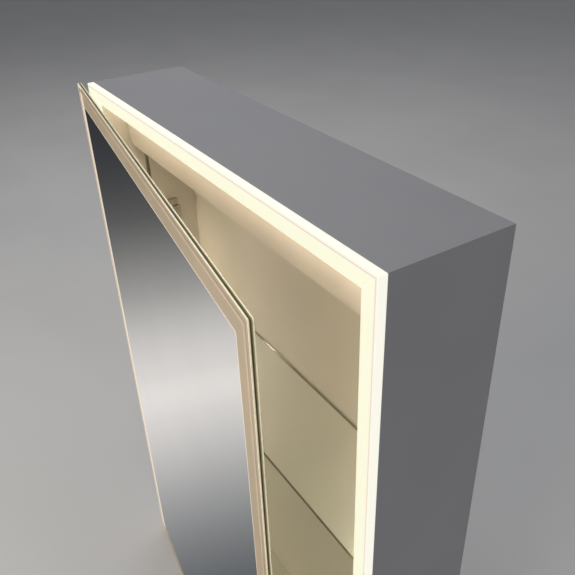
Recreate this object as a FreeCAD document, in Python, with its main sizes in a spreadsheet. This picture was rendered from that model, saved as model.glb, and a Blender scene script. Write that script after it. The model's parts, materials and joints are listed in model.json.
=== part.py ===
import FreeCAD, Part
import Sketcher
import os
import re

# A wall-hung medicine cabinet with one mirrored door and a luminous frame round its opening.
# X runs across the cabinet, +Y points into the wall and +Z is up. The origin is where the line
# of the wall screws crosses the middle of the cabinet, on the wall's surface.
# The door is modelled a little way open, turned about its hinge pins.

doc = FreeCAD.newDocument("medicine_cabinet")

# ---------------------------------------------------------------- driving dimensions, in mm

SIZES = {
    "cut_over": 1.0,               # how far a cutting tool runs past what it cuts
    "cabinet_width": 600.0,
    "cabinet_height": 856.0,
    "cabinet_depth": 134.0,
    "hanging_drop": 45.0,          # from the cabinet's top down to the wall screws
    "board_thickness": 15.0,
    "back_thickness": 4.0,
    "back_recess": 4.0,            # room behind the back panel for the wall rail
    "back_housing": 6.0,           # how far the back panel is let into the boards
    "frame_face": 18.5,            # luminous frame, seen from the front
    "frame_depth": 8.5,
    "diffuser_wall": 3.0,
    "channel_inset": 4.0,          # board left outside the lighting channel
    "channel_size": 8.0,
    "channel_wall": 1.0,
    "tape_width": 4.6,
    "tape_thickness": 0.6,
    "chip_length": 3.5,
    "chip_height": 0.8,
    "chip_pitch": 25.0,
    "shelf_thickness": 6.0,
    "shelf_depth": 113.0,
    "shelf_side_gap": 1.5,
    "shelf_back_gap": 1.0,
    "upper_shelf_drop": 343.0,     # from the cabinet's top to the shelf's upper face
    "lower_shelf_drop": 591.0,
    "rail_setback": 60.0,          # from the cabinet's front to the shelf rail's middle
    "rail_width": 5.0,
    "rail_depth": 4.0,
    "rail_end_gap": 4.0,
    "rail_slot_width": 3.0,
    "rail_slot_end": 12.0,
    "rail_floor": 1.0,
    "shelf_edge_radius": 1.0,
    "bracket_length": 64.0,
    "bracket_reach": 8.0,
    "bracket_height": 8.0,
    "bracket_wall_gap": 0.3,
    "bracket_hook_inset": 1.0,
    "bracket_hook_thickness": 2.6,
    "pad_thickness": 1.0,
    "pad_inset": 8.0,
    "pad_length": 12.0,
    "cover_setback": 39.0,         # from the cabinet's front to the electrics cover
    "cover_height": 70.0,
    "cover_wall": 2.0,
    "cover_side_gap": 3.0,
    "cover_top_gap": 0.5,
    "cover_back_gap": 0.2,
    "cover_radius": 14.0,
    "cover_screw_inset": 70.0,
    "cover_screw_setback": 14.0,   # in front of the back panel
    "cover_screw_radius": 1.5,
    "cover_screw_length": 7.0,
    "cover_head_radius": 3.2,
    "cover_head_height": 1.8,
    "tray_inset": 40.0,            # the tray's ends, kept clear of the hangers
    "tray_thickness": 1.5,
    "tray_front_gap": 8.0,
    "tray_back_gap": 0.3,
    "tab_width": 16.0,
    "tab_front": 22.0,             # in front of the back panel
    "tab_rear": 6.0,
    "screw_clearance": 0.3,
    "driver_length": 180.0,
    "driver_depth": 52.0,
    "driver_height": 28.0,
    "driver_inset": 110.0,         # from the cabinet's left side
    "driver_setback": 16.0,        # behind the cover's front
    "driver_corner": 3.0,
    "driver_ear": 12.0,
    "ear_margin": 14.0,
    "ear_thickness": 3.0,
    "driver_screw_radius": 1.6,
    "driver_head_radius": 3.0,
    "driver_head_height": 2.0,
    "terminal_gap": 40.0,
    "terminal_length": 48.0,
    "terminal_depth": 22.0,
    "terminal_height": 16.0,
    "terminal_pitch": 12.0,
    "terminal_way_radius": 2.0,
    "terminal_way_drop": 6.0,
    "terminal_well_radius": 2.4,
    "terminal_well_depth": 3.0,
    "terminal_well_offset": 6.0,
    "grommet_radius": 7.0,
    "grommet_bore": 4.5,
    "grommet_lip": 2.0,
    "grommet_lip_thickness": 1.5,
    "grommet_inset": 140.0,        # from the cabinet's right side
    "grommet_drop": 56.5,          # from the top board's underside
    "fixing_hole_radius": 3.2,
    "fixing_hole_height": 97.0,    # from the cabinet's bottom to the lower fixing hole
    "wall_rail_height": 34.0,
    "wall_rail_steel": 1.6,
    "wall_screw_spacing": 400.0,
    "wall_screw_radius": 3.0,
    "hanger_width": 26.0,
    "hanger_depth": 14.0,
    "hanger_drop": 30.0,           # below the wall rail's lip
    "hanger_corner": 2.0,
    "hanger_side_gap": 6.0,
    "window_side_margin": 2.0,
    "window_below": 14.0,
    "window_above": 5.0,
    "lip_drop": 9.0,               # from the top board's underside
    "lip_height": 11.0,
    "lip_thickness": 1.3,
    "rail_fold": 1.4,
    "rail_face_gap": 0.2,
    "hook_setback": 1.9,
    "hook_inset": 4.0,
    "hook_clearance": 0.4,
    "hook_tongue": 3.0,
    "hook_steel": 1.6,
    "hook_reach": 7.0,
    "hanger_screw_radius": 2.0,
    "hanger_screw_length": 13.0,
    "hanger_head_radius": 3.6,
    "hanger_head_height": 2.2,
    "hinge_drop": 203.0,           # from the cabinet's top or bottom to a hinge's middle
    "hinge_pin_x": 2.6,            # from the cabinet's left side
    "hinge_pin_y": 4.0,            # in front of the luminous frame
    "hinge_pin_radius": 1.5,
    "pin_clearance": 0.05,
    "knuckle_radius": 3.0,
    "arm_height": 18.0,
    "arm_thickness": 3.0,
    "arm_strip": 2.4,              # the arm where it crosses in front of the frame
    "arm_reach": 98.0,             # from the cabinet's front to the arm's rear end
    "arm_frame_gap": 0.8,
    "arm_side_gap": 0.5,
    "arm_screw_radius": 1.7,
    "arm_hole_radius": 2.1,
    "arm_thread": 3.4,             # how far an arm screw enters the plate
    "arm_head_radius": 3.5,
    "plate_length": 58.0,
    "plate_height": 40.0,
    "plate_corner": 4.0,
    "plate_screw_back": 28.0,
    "plate_screw_rise": 14.5,
    "plate_screw_radius": 2.0,
    "plate_head_radius": 3.4,
    "plate_thread": 3.9,
    "hinge_head_height": 2.0,
    "knuckle_gap": 0.4,
    "leaf_height": 44.0,
    "leaf_width": 46.0,
    "leaf_thickness": 2.0,
    "leaf_corner": 5.0,
    "lug_width": 3.6,
    "lug_setback": 1.0,
    "window_clearance": 0.4,
    "leaf_window": 0.5,            # the leaf's gap beside the arm's knuckle
    "pin_head_radius": 2.4,
    "pin_head_height": 1.2,
    "door_gap": 8.0,               # luminous frame to the closed door's rear pane
    "door_side_overlap": 2.5,
    "door_top_overlap": 1.5,
    "door_open_angle": 8.3,
    "pane_thickness": 2.0,
    "silver_thickness": 0.2,
    "bond_thickness": 0.4,
    "clear_border": 25.0,          # satin edge left round the silvered middle
    "seal_inset": 1.6,
    "seal_width": 4.0,
    "corner_radius": 2.0,
    "stop_radius": 4.0,
    "stop_clearance": 0.4,
    "stop_inset": 290.0,           # from the cabinet's top or bottom
    "stop_easing": 1.5,
    "strike_radius": 9.0,
    "strike_thickness": 1.2,
    "strike_boss_radius": 3.0,
    "strike_boss_height": 1.5,
    "catch_inset": 20.0,           # from the right side board
    "magnet_lift": 8.5,            # above the luminous frame
    "magnet_radius": 6.5,
    "magnet_length": 15.1,
    "magnet_front": 6.1,           # in front of the luminous frame
    "holder_width": 18.0,
    "holder_front": 2.0,
    "holder_rear": 34.0,
    "holder_above": 8.0,
    "holder_corner": 2.0,
    "holder_relief_gap": 0.5,
    "pocket_depth": 9.0,
    "catch_screw_back": 24.0,
    "catch_screw_radius": 1.8,
    "catch_screw_lift": 6.0,       # underside of the catch screw's head over the board
    "catch_well_radius": 4.0,
    "catch_head_radius": 3.2,
    "catch_head_height": 2.4,
}

ARM_SCREW_BACKS = (12, 44)         # from the hinge arm's rear end, in mm
HANGER_SCREW_DROPS = (10, 22)      # below the wall rail's lip, in mm
TERMINAL_WAYS = 4

sheet = doc.addObject("Spreadsheet::Sheet", "Sizes")
for row, (alias, size) in enumerate(SIZES.items(), start=1):
    sheet.set(f"A{row}", alias)
    sheet.set(f"B{row}", str(size))
    sheet.setAlias(f"B{row}", alias)
doc.recompute()


def formula(text):
    """Point every size's name in a formula at the sheet."""
    def name_in_sheet(match):
        word = match.group(0)
        return f"Sizes.{word}" if word in SIZES else word
    return re.sub(r"[a-z]+(?:_[a-z]+)+", name_in_sheet, text)


def value(text):
    """What a formula comes to now, in mm."""
    return float(sheet.evalExpression(formula(text)))


# ---------------------------------------------------------------- where things are

LEFT = "(-cabinet_width/2)"
RIGHT = "(cabinet_width/2)"
TOP = "(hanging_drop)"
BOTTOM = "(hanging_drop - cabinet_height)"
FRONT = "(-cabinet_depth)"
BOARD_FRONT = "(frame_depth - cabinet_depth)"
BACK_REAR = "(-back_recess)"
BACK_FACE = "(-back_recess - back_thickness)"
INSIDE_LEFT = "(board_thickness - cabinet_width/2)"
INSIDE_RIGHT = "(cabinet_width/2 - board_thickness)"
INSIDE_TOP = "(hanging_drop - board_thickness)"
INSIDE_BOTTOM = "(hanging_drop - cabinet_height + board_thickness)"
UPPER_HINGE = "(hanging_drop - hinge_drop)"
LOWER_HINGE = "(hanging_drop - cabinet_height + hinge_drop)"
PIN_X = "(hinge_pin_x - cabinet_width/2)"
PIN_Y = "(-cabinet_depth - hinge_pin_y)"
CATCH_X = "(cabinet_width/2 - board_thickness - catch_inset)"
RAIL_Y = "(rail_setback - cabinet_depth)"
COVER_FRONT = "(cover_setback - cabinet_depth)"
COVER_BOTTOM = "(hanging_drop - board_thickness - cover_height)"
MAGNET_Z = "(hanging_drop - cabinet_height + frame_face + magnet_lift)"

sub_parts = []


def sub_part(piece, label):
    """Give a finished piece its name and put it on the list of what is written."""
    piece.Label = label
    sub_parts.append(piece)
    return piece


# ---------------------------------------------------------------- solids bound to the sheet

def box(x, y, z):
    """A block between two formulas along each axis."""
    block = doc.addObject("Part::Box", "block")
    for size, place, (low, high) in (("Length", "x", x), ("Width", "y", y), ("Height", "z", z)):
        block.setExpression(size, formula(f"({high}) - ({low})"))
        block.setExpression(f".Placement.Base.{place}", formula(low))
    return block


ALONG = {
    "X": FreeCAD.Rotation(FreeCAD.Vector(0, 1, 0), 90),
    "Y": FreeCAD.Rotation(FreeCAD.Vector(1, 0, 0), -90),
    "Z": FreeCAD.Rotation(),
}


def rod(radius, length, start, axis="Z"):
    """A round bar from its start along +X, +Y or +Z."""
    bar = doc.addObject("Part::Cylinder", "bar")
    bar.Placement = FreeCAD.Placement(FreeCAD.Vector(), ALONG[axis])
    bar.setExpression("Radius", formula(radius))
    bar.setExpression("Height", formula(length))
    for place, text in zip("xyz", start):
        bar.setExpression(f".Placement.Base.{place}", formula(text))
    return bar


def join(*pieces):
    """One feature from several solids, whether or not they touch."""
    joined = doc.addObject("Part::MultiFuse", "joined")
    joined.Shapes = list(pieces)
    joined.Refine = True
    return joined


def cut(base, *tools):
    remainder = doc.addObject("Part::Cut", "remainder")
    remainder.Base = base
    remainder.Tool = tools[0] if len(tools) == 1 else join(*tools)
    return remainder


def round_edges(base, radius, wanted):
    """Round the edges of a feature for which wanted(edge) holds."""
    doc.recompute()
    rounded = doc.addObject("Part::Fillet", "rounded")
    rounded.Base = base
    size = value(radius)
    rounded.Edges = [(number, size, size)
                     for number, edge in enumerate(base.Shape.Edges, start=1) if wanted(edge)]
    return rounded


def runs_along(edge, axis):
    """Whether a straight edge runs along a unit vector."""
    ends = [vertex.Point for vertex in edge.Vertexes]
    if len(ends) != 2:
        return False
    span = ends[1] - ends[0]
    return span.Length > 1e-6 and abs(abs(span.normalize().dot(axis)) - 1) < 1e-6


# ---------------------------------------------------------------- sketched solids

def pin_point(sketch, line, x, y):
    """Hold the start of a line at two formulas, measured from the sketch's origin."""
    for kind, text in (("DistanceX", x), ("DistanceY", y)):
        size = value(text)
        order = (-1, 1, line, 1) if size >= 0 else (line, 1, -1, 1)
        signed = text if size >= 0 else f"-({text})"
        number = sketch.addConstraint(Sketcher.Constraint(kind, *order, abs(size)))
        sketch.setExpression(f"Constraints[{number}]", formula(signed))


def sketch_on(body, role, offset):
    """A sketch on one of a body's origin planes, moved along the plane's normal."""
    sketch = body.newObject("Sketcher::SketchObject", "outline")
    plane = next(item for item in body.Origin.OriginFeatures if item.Role == role)
    sketch.AttachmentSupport = [(plane, "")]
    sketch.MapMode = "FlatFace"
    sketch.setExpression(".AttachmentOffset.Base.z", formula(offset))
    return sketch


def draw_polygon(sketch, points):
    """A closed outline of straight lines through (x, y) formulas."""
    corners = [FreeCAD.Vector(value(x), value(y), 0) for x, y in points]
    first = sketch.GeometryCount
    for start, end in zip(corners, corners[1:] + corners[:1]):
        sketch.addGeometry(Part.LineSegment(start, end), False)
    for step in range(len(corners)):
        following = first + (step + 1) % len(corners)
        sketch.addConstraint(Sketcher.Constraint("Coincident", first + step, 2, following, 1))
    for step, (x, y) in enumerate(points):
        pin_point(sketch, first + step, x, y)


def padded_body(role, offset, length, *outlines):
    """A pad of one outline, with any further outlines as holes through it."""
    body = doc.addObject("PartDesign::Body", "body")
    sketch = sketch_on(body, role, offset)
    for points in outlines:
        draw_polygon(sketch, points)
    pad = body.newObject("PartDesign::Pad", "pad")
    pad.Profile = sketch
    pad.setExpression("Length", formula(length))
    body.Tip = pad
    sketch.Visibility = False
    return body


def slab(y_low, y_high, *outlines):
    """A plate of outlines drawn in X and Z, between two depths."""
    return padded_body("XZ_Plane", f"-({y_high})", f"({y_high}) - ({y_low})", *outlines)


def mitred_bars(inset, thickness, y_low, y_high):
    """Four bars that meet in mitres round the cabinet's front, by side."""
    outer = {"left": f"-cabinet_width/2 + {inset}", "right": f"cabinet_width/2 - {inset}",
             "top": f"hanging_drop - {inset}", "bottom": f"hanging_drop - cabinet_height + {inset}"}
    inner = {"left": f"{outer['left']} + {thickness}", "right": f"{outer['right']} - {thickness}",
             "top": f"{outer['top']} - {thickness}", "bottom": f"{outer['bottom']} + {thickness}"}
    ends = {"top": ("left", "right"), "right": ("top", "bottom"),
            "bottom": ("right", "left"), "left": ("bottom", "top")}
    bars = {}
    for side, (start, end) in ends.items():
        def corner(ring, other, side=side):
            if side in ("top", "bottom"):
                return (ring[other], ring[side])
            return (ring[side], ring[other])
        outline = [corner(outer, start), corner(outer, end), corner(inner, end), corner(inner, start)]
        bars[side] = slab(y_low, y_high, outline)
    return bars


# ---------------------------------------------------------------- carcass and lighting

CHANNEL_REAR = "(frame_depth - cabinet_depth + channel_size)"


def carcass():
    """Mitred boards, housed for the back panel, channelled for the lights, grooved for the rails."""
    boards = mitred_bars("0", "board_thickness", BOARD_FRONT, "0")
    housing = f"{INSIDE_LEFT} - back_housing", f"{INSIDE_RIGHT} + back_housing"
    storeys = f"{INSIDE_BOTTOM} - back_housing", f"{INSIDE_TOP} + back_housing"
    for side, board in boards.items():
        tools = [box(housing, (BACK_FACE, BACK_REAR), storeys)]
        groove = mitred_bars("channel_inset", "channel_size", BOARD_FRONT, CHANNEL_REAR)
        tools += groove.values()
        if side in ("left", "right"):
            tools.append(rail_block(side))
        name = f"{side}_side_board" if side in ("left", "right") else f"{side}_board"
        sub_part(cut(board, *tools), name)

    panel = box(housing, (BACK_FACE, BACK_REAR), storeys)
    through = "back_thickness + 2*cut_over"
    grommet = rod("grommet_radius", through, (GROMMET_X, f"{BACK_FACE} - cut_over", GROMMET_Z), "Y")
    fixing = rod("fixing_hole_radius", through,
                 ("0", f"{BACK_FACE} - cut_over", f"{BOTTOM} + fixing_hole_height"), "Y")
    windows = [box(*hanger_window(x)) for x in HANGER_X.values()]
    sub_part(cut(panel, grommet, fixing, *windows), "back_panel")


def rail_block(side):
    """The space of a shelf rail in a side board."""
    face = INSIDE_LEFT if side == "left" else INSIDE_RIGHT
    x = (f"{face} - rail_depth", face) if side == "left" else (face, f"{face} + rail_depth")
    y = (f"{RAIL_Y} - rail_width/2", f"{RAIL_Y} + rail_width/2")
    return box(x, y, (f"{INSIDE_BOTTOM} + rail_end_gap", f"{INSIDE_TOP} - rail_end_gap"))


def lighting():
    """Satin diffuser bars, aluminium channels behind them, and the light tapes inside."""
    chamber_front = f"{FRONT} + diffuser_wall"
    for side, bar in mitred_bars("0", "frame_face", FRONT, BOARD_FRONT).items():
        hollow = mitred_bars("channel_inset", "channel_size", chamber_front, BOARD_FRONT)[side]
        sub_part(cut(bar, hollow), f"diffuser_{side}")
    inner_inset = "(channel_inset + channel_wall)"
    inner_size = "(channel_size - 2*channel_wall)"
    for side, bar in mitred_bars("channel_inset", "channel_size", BOARD_FRONT, CHANNEL_REAR).items():
        hollow = mitred_bars(inner_inset, inner_size, BOARD_FRONT, f"{CHANNEL_REAR} - channel_wall")[side]
        sub_part(cut(bar, hollow), f"lighting_channel_{side}")
    for side in ("top", "bottom", "left", "right"):
        sub_part(light_tape(side), f"light_tape_{side}")


def light_tape(side):
    """A flat tape down the middle of one channel with a row of light chips on it."""
    middle_inset = "(channel_inset + channel_size/2)"
    clear = "(channel_inset + channel_size)"
    tape_rear = f"({CHANNEL_REAR} - channel_wall)"
    tape_front = f"({tape_rear} - tape_thickness)"
    chip_y = (f"{tape_front} - chip_height", tape_front)
    across = {"top": f"{TOP} - {middle_inset}", "bottom": f"{BOTTOM} + {middle_inset}",
              "left": f"{LEFT} + {middle_inset}", "right": f"{RIGHT} - {middle_inset}"}[side]
    level = side in ("top", "bottom")
    low, high = (LEFT, RIGHT) if level else (BOTTOM, TOP)
    run = (f"{low} + {clear}", f"{high} - {clear}")
    width = (f"{across} - tape_width/2", f"{across} + tape_width/2")
    chip_width = (f"{across} - chip_length/2", f"{across} + chip_length/2")

    def laid(along, crosswise, y):
        return box(along, y, crosswise) if level else box(crosswise, y, along)

    count = int((value(run[1]) - value(run[0])) // value("chip_pitch"))
    pieces = [laid(run, width, (tape_front, tape_rear))]
    for number in range(count):
        middle = f"({low} + {clear} + chip_pitch*{number + 0.5})"
        pieces.append(laid((f"{middle} - chip_length/2", f"{middle} + chip_length/2"), chip_width, chip_y))
    return join(*pieces)


# ---------------------------------------------------------------- electrics in the top of the cabinet

GROMMET_X = "(cabinet_width/2 - grommet_inset)"
GROMMET_Z = f"({INSIDE_TOP} - grommet_drop)"
DRIVER_LEFT = "(-cabinet_width/2 + driver_inset)"


def electrics():
    """The folded cover, and the tray, driver, terminals and grommet that it hides."""
    outer_x = (f"{INSIDE_LEFT} + cover_side_gap", f"{INSIDE_RIGHT} - cover_side_gap")
    screw_x = (f"{outer_x[0]} + cover_screw_inset", f"{outer_x[1]} - cover_screw_inset")
    screw_y = f"({BACK_FACE} - cover_screw_setback)"
    fold_z = f"({COVER_BOTTOM} + cover_wall)"
    driver_top = f"({INSIDE_TOP} - tray_thickness)"
    driver_middle = f"({COVER_FRONT} + driver_setback + driver_depth/2)"
    sub_part(electrics_cover(outer_x, screw_x, screw_y), "electrics_cover")
    sub_part(electrics_tray(outer_x, screw_x, screw_y, fold_z), "electrics_tray")
    screws = [join(rod("cover_screw_radius", "cover_screw_length", (x, screw_y, COVER_BOTTOM)),
                   rod("cover_head_radius", "cover_head_height",
                       (x, screw_y, f"{COVER_BOTTOM} - cover_head_height"))) for x in screw_x]
    sub_part(join(*screws), "cover_screws")
    light_driver(driver_top, driver_middle)
    sub_part(terminal_block(driver_top, driver_middle), "terminal_block")
    sub_part(cable_grommet(), "cable_grommet")


def electrics_cover(outer_x, screw_x, screw_y):
    """A folded shell with rounded lower corners, open at its top and back."""
    cover_y = (COVER_FRONT, f"{BACK_FACE} - cover_back_gap")
    cover_z = (COVER_BOTTOM, f"{INSIDE_TOP} - cover_top_gap")
    depth_axis = FreeCAD.Vector(0, 1, 0)

    def low_corner(edge):
        return runs_along(edge, depth_axis) and edge.BoundBox.ZMax < value(f"{COVER_BOTTOM} + 2*cover_wall")

    shell = round_edges(box(outer_x, cover_y, cover_z), "cover_radius", low_corner)
    inside = box(tuple(f"{x} {sign} cover_wall" for x, sign in zip(outer_x, "+-")),
                 (f"{cover_y[0]} + cover_wall", f"{cover_y[1]} + cut_over"),
                 (f"{cover_z[0]} + cover_wall", f"{cover_z[1]} + cut_over"))
    inside = round_edges(inside, "cover_radius - cover_wall", low_corner)
    bores = [rod("cover_screw_radius + screw_clearance", "cover_wall + 2*cut_over",
                 (x, screw_y, f"{COVER_BOTTOM} - cut_over")) for x in screw_x]
    return cut(shell, inside, *bores)


def electrics_tray(outer_x, screw_x, screw_y, fold_z):
    """A sheet under the top board, with two legs folded down to tabs for the cover's screws."""
    sheet_top = box((f"{outer_x[0]} + tray_inset", f"{outer_x[1]} - tray_inset"),
                    (f"{COVER_FRONT} + tray_front_gap", f"{BACK_FACE} - tray_back_gap"),
                    (f"{INSIDE_TOP} - tray_thickness", INSIDE_TOP))
    pieces = [sheet_top]
    for x in screw_x:
        width = (f"{x} - tab_width/2", f"{x} + tab_width/2")
        pieces.append(box(width, (f"{BACK_FACE} - tab_front", f"{BACK_FACE} - tab_rear"),
                          (fold_z, f"{fold_z} + tray_thickness")))
        pieces.append(box(width, (f"{BACK_FACE} - tab_rear", f"{BACK_FACE} - tab_rear + tray_thickness"),
                          (fold_z, f"{INSIDE_TOP} - tray_thickness")))
    bores = [rod("cover_screw_radius + screw_clearance", "tray_thickness + 2*cut_over",
                 (x, screw_y, f"{fold_z} - cut_over")) for x in screw_x]
    return cut(join(*pieces), *bores)


def light_driver(driver_top, middle_y):
    """The driver's case with an ear at each end, and the screws through the ears."""
    driver_y = (f"{middle_y} - driver_depth/2", f"{middle_y} + driver_depth/2")
    case = box((DRIVER_LEFT, f"{DRIVER_LEFT} + driver_length"), driver_y,
               (f"{driver_top} - driver_height", driver_top))
    case = round_edges(case, "driver_corner",
                       lambda edge: edge.BoundBox.ZMax < value(f"{driver_top} - ear_thickness/2"))
    ear_left = (f"({DRIVER_LEFT} - driver_ear)", f"({DRIVER_LEFT} + driver_length)")
    ear_bottom = f"({driver_top} - ear_thickness)"
    ears = [box((left, f"{left} + driver_ear"),
                (f"{driver_y[0]} + ear_margin", f"{driver_y[1]} - ear_margin"),
                (ear_bottom, driver_top)) for left in ear_left]
    ear_x = [f"{left} + driver_ear/2" for left in ear_left]
    bores = [rod("driver_screw_radius + screw_clearance", "ear_thickness + 2*cut_over",
                 (x, middle_y, f"{ear_bottom} - cut_over")) for x in ear_x]
    sub_part(cut(join(case, *ears), *bores), "light_driver")
    screws = [join(rod("driver_screw_radius", "ear_thickness", (x, middle_y, ear_bottom)),
                   rod("driver_head_radius", "driver_head_height",
                       (x, middle_y, f"{ear_bottom} - driver_head_height"))) for x in ear_x]
    sub_part(join(*screws), "driver_screws")


def terminal_block(driver_top, middle_y):
    """A block with a way through it for each wire, and two screw wells to each way."""
    left = f"({DRIVER_LEFT} + driver_length + terminal_gap)"
    depth = (f"{middle_y} - terminal_depth/2", f"{middle_y} + terminal_depth/2")
    block = box((left, f"{left} + terminal_length"), depth, (f"{driver_top} - terminal_height", driver_top))
    tools = []
    for way in range(TERMINAL_WAYS):
        x = f"({left} + terminal_pitch*{way + 0.5})"
        tools.append(rod("terminal_way_radius", "terminal_depth + 2*cut_over",
                         (x, f"{depth[0]} - cut_over", f"{driver_top} - terminal_way_drop"), "Y"))
        for sign in "-+":
            tools.append(rod("terminal_well_radius", "terminal_well_depth + cut_over",
                             (x, f"{middle_y} {sign} terminal_well_offset",
                              f"{driver_top} - terminal_height - cut_over")))
    return cut(block, *tools)


def cable_grommet():
    """A ring in the back panel with a lip on each side."""
    lips = [rod("grommet_radius + grommet_lip", "grommet_lip_thickness", (GROMMET_X, face, GROMMET_Z), "Y")
            for face in (f"{BACK_FACE} - grommet_lip_thickness", BACK_REAR)]
    neck = rod("grommet_radius", "back_thickness", (GROMMET_X, BACK_FACE, GROMMET_Z), "Y")
    bore = rod("grommet_bore", "back_thickness + 2*grommet_lip_thickness + 2*cut_over",
               (GROMMET_X, f"{BACK_FACE} - grommet_lip_thickness - cut_over", GROMMET_Z), "Y")
    return cut(join(neck, *lips), bore)


# ---------------------------------------------------------------- shelves

SHELF_DROPS = {"upper": "upper_shelf_drop", "lower": "lower_shelf_drop"}


def shelves():
    """Two glass shelves on brackets that hook into a slotted rail in each side."""
    shelf_x = (f"{INSIDE_LEFT} + shelf_side_gap", f"{INSIDE_RIGHT} - shelf_side_gap")
    shelf_y = (f"{BACK_FACE} - shelf_back_gap - shelf_depth", f"{BACK_FACE} - shelf_back_gap")
    pads = []
    for name, drop in SHELF_DROPS.items():
        glass_top = f"({TOP} - {drop})"
        glass_bottom = f"({glass_top} - shelf_thickness)"
        glass = box(shelf_x, shelf_y, (glass_bottom, glass_top))
        glass = round_edges(glass, "shelf_edge_radius",
                            lambda edge: runs_along(edge, FreeCAD.Vector(1, 0, 0)))
        sub_part(glass, f"shelf_{name}")
        bracket_top = f"({glass_bottom} - pad_thickness)"
        brackets = []
        for side in ("left", "right"):
            inward = "+" if side == "left" else "-"
            face = INSIDE_LEFT if side == "left" else INSIDE_RIGHT
            reach = [f"{face} {inward} bracket_wall_gap", f"{face} {inward} bracket_reach"]
            tongue = [f"{face} {inward} (rail_floor - rail_depth)", f"{face} {inward} bracket_wall_gap"]
            if side == "right":
                reach.reverse()
                tongue.reverse()
            bar = box(reach, (f"{RAIL_Y} - bracket_length/2", f"{RAIL_Y} + bracket_length/2"),
                      (f"{bracket_top} - bracket_height", bracket_top))
            hook = box(tongue,
                       (f"{RAIL_Y} - bracket_hook_thickness/2", f"{RAIL_Y} + bracket_hook_thickness/2"),
                       (f"{bracket_top} - bracket_height + bracket_hook_inset",
                        f"{bracket_top} - bracket_hook_inset"))
            brackets.append(join(bar, hook))
            for end in ("-", "+"):
                middle = f"({RAIL_Y} {end} (bracket_length/2 - pad_inset))"
                pads.append(box(reach, (f"{middle} - pad_length/2", f"{middle} + pad_length/2"),
                                (bracket_top, glass_bottom)))
        sub_part(join(*brackets), f"shelf_brackets_{name}")
    sub_part(join(*pads), "shelf_pads")

    for side in ("left", "right"):
        face = INSIDE_LEFT if side == "left" else INSIDE_RIGHT
        slot_x = [f"{face} - rail_depth + rail_floor", f"{face} + cut_over"]
        if side == "right":
            slot_x = [f"{face} - cut_over", f"{face} + rail_depth - rail_floor"]
        channel = box(slot_x, (f"{RAIL_Y} - rail_slot_width/2", f"{RAIL_Y} + rail_slot_width/2"),
                      (f"{INSIDE_BOTTOM} + rail_slot_end", f"{INSIDE_TOP} - rail_slot_end"))
        sub_part(cut(rail_block(side), channel), f"shelf_rail_{side}")


# ---------------------------------------------------------------- hanging on the wall

HANGER_X = {"left": f"({INSIDE_LEFT} + hanger_side_gap)",
            "right": f"({INSIDE_RIGHT} - hanger_side_gap - hanger_width)"}
LIP_TOP = "(hanging_drop - board_thickness - lip_drop)"
HOOK_FRONT = f"({BACK_REAR} + hook_setback)"


def hanger_window(x):
    """The opening in the back panel that a hanger's hook passes through."""
    width = (f"{x} + window_side_margin", f"{x} + hanger_width - window_side_margin")
    depth = (f"{BACK_FACE} - cut_over", f"{BACK_REAR} + cut_over")
    return width, depth, (f"{LIP_TOP} - window_below", f"{LIP_TOP} + window_above")


def hanging():
    """The steel wall rail and the two hangers whose hooks drop behind its lip."""
    rail_x = (f"{HANGER_X['left']}", f"{HANGER_X['right']} + hanger_width")
    flange_bottom = "(-wall_rail_height/2)"
    step = f"({LIP_TOP} - lip_height)"
    flange = box(rail_x, ("-wall_rail_steel", "0"), (flange_bottom, step))
    lip_front = f"({BACK_REAR} + rail_face_gap)"
    shelf = box(rail_x, (lip_front, "0"), (step, f"{step} + rail_fold"))
    lip = box(rail_x, (lip_front, f"{lip_front} + lip_thickness"), (step, LIP_TOP))
    bores = [rod("wall_screw_radius", "wall_rail_steel + 2*cut_over",
                 (f"{sign}wall_screw_spacing/2", "-wall_rail_steel - cut_over", "0"), "Y")
             for sign in ("-", "")]
    sub_part(cut(join(flange, shelf, lip), *bores), "wall_rail")

    screws = []
    for side, x in HANGER_X.items():
        front = f"({BACK_FACE} - hanger_depth)"
        case = box((x, f"{x} + hanger_width"), (front, BACK_FACE), (f"{LIP_TOP} - hanger_drop", INSIDE_TOP))
        case = round_edges(case, "hanger_corner", lambda edge: runs_along(edge, FreeCAD.Vector(0, 1, 0))
                           and edge.BoundBox.ZMax < value(LIP_TOP))
        hook_x = (f"{x} + hook_inset", f"{x} + hanger_width - hook_inset")
        tongue_z = (f"{LIP_TOP} + hook_clearance", f"{LIP_TOP} + hook_clearance + hook_tongue")
        tongue = box(hook_x, (BACK_FACE, HOOK_FRONT), tongue_z)
        hook = box(hook_x, (HOOK_FRONT, f"{HOOK_FRONT} + hook_steel"),
                   (f"{LIP_TOP} - hook_reach", tongue_z[1]))
        middle = f"{x} + hanger_width/2"
        bores = []
        for down in HANGER_SCREW_DROPS:
            height = f"{LIP_TOP} - {down}"
            bores.append(rod("hanger_screw_radius + screw_clearance", "hanger_depth",
                             (middle, f"{front} - cut_over", height), "Y"))
            shank = rod("hanger_screw_radius", "hanger_screw_length", (middle, front, height), "Y")
            head = rod("hanger_head_radius", "hanger_head_height",
                       (middle, f"{front} - hanger_head_height", height), "Y")
            screws.append(join(shank, head))
        sub_part(cut(join(case, tongue, hook), *bores), f"hanger_{side}")
    sub_part(join(*screws), "hanger_screws")


# ---------------------------------------------------------------- hinges

ARM_X = "(frame_face + arm_side_gap - cabinet_width/2)"
STRIP_Y = "(-cabinet_depth - arm_frame_gap)"
ARM_REAR = "(arm_reach - cabinet_depth)"


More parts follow.
